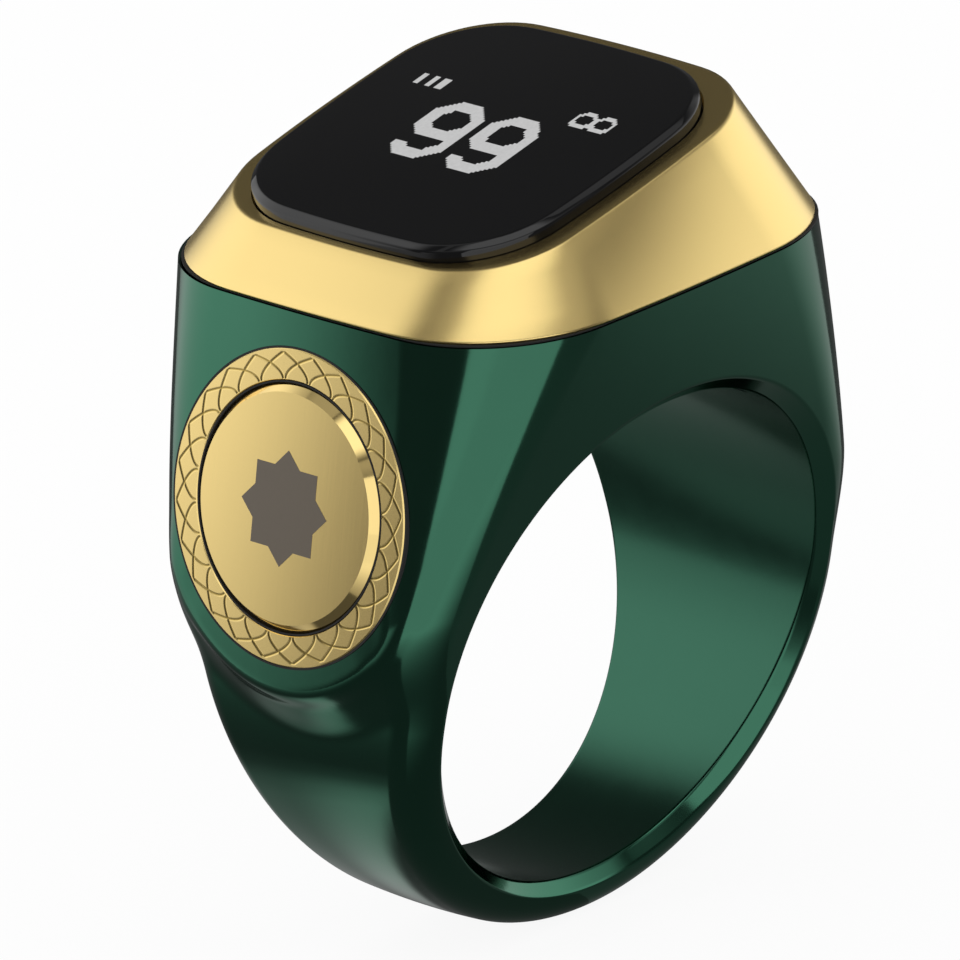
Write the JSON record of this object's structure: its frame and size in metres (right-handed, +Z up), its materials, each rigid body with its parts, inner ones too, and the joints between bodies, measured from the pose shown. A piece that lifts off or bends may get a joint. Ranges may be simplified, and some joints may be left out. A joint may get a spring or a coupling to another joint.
{
  "type": "digital tasbih counter ring",
  "caption": "Finger ring that counts prayers: green metal band, wedge-shaped gold bezel with a black display glass, and a round gold press button on its flank.",
  "frame": {"origin": "middle of the finger bore, on its axis", "axes": "+Z up from the finger to the display, Y along the finger bore, the press button towards -X"},
  "size_m": [0.0251, 0.0202, 0.0324],
  "materials": {
    "green_lacquer": "glossy metallic green lacquer",
    "satin_gold": "fine satin gold plating",
    "engraved_gold": "gold plating with engraved dark lines",
    "black_glass": "polished black cover glass",
    "panel_glass": "dark panel",
    "black_rubber": "matt black",
    "black_tape": "matt black tape",
    "dark_inlay": "matt dark brown-grey inlay",
    "black_plastic": "fine matt",
    "amber_flex": "polyimide film",
    "board_laminate": "solder mask",
    "pale_laminate": "sintered",
    "chip_epoxy": "moulded",
    "grey_foam": "open cell",
    "cell_foil": "laminated foil",
    "contact_gold": "hard gold",
    "steel": "plain"
  },
  "bodies": {
    "ring": {"body_shell": "green_lacquer", "bezel": "satin_gold", "bezel_gasket": "black_rubber", "display_glass": "black_glass", "glass_adhesive": "black_tape", "oled_panel": "panel_glass", "display_flex": "amber_flex", "main_board": "board_laminate", "controller_chip": "chip_epoxy", "charger_chip": "chip_epoxy", "crystal": "steel", "chip_antenna": "pale_laminate", "board_capacitors": "pale_laminate", "vibration_motor": "steel", "battery_tray": "black_plastic", "battery_foam": "grey_foam", "battery": "cell_foil", "battery_tabs": "steel", "tray_screws": "steel", "board_screws": "steel", "inner_cover": "black_plastic", "cover_adhesive": "black_tape", "charge_contacts": "contact_gold", "charge_magnets": "steel", "button_ring": "engraved_gold", "stem_seal": "black_rubber", "switch_base": "black_plastic", "switch_dome": "steel", "switch_board": "board_laminate", "switch_flex": "amber_flex"},
    "button": {"button_cap": "satin_gold", "button_emblem": "dark_inlay", "button_stem": "steel", "stem_clip": "steel"},
    "plunger": {"switch_plunger": "black_plastic"}
  },
  "joints": [
    {"name": "button_press", "type": "slide", "parent": "ring", "child": "button", "axis": [0.9759, 0, -0.2181], "range_m": [0, 0.00025], "stiffness_N_per_m": 6000},
    {"name": "switch_press", "type": "slide", "parent": "ring", "child": "plunger", "axis": [0.9759, 0, -0.2181], "range_m": [0, 0.00025], "deforming": ["switch_dome"]}
  ],
  "couplings": [
    {"joint": "switch_press", "follows": "button_press", "ratio": 1}
  ]
}
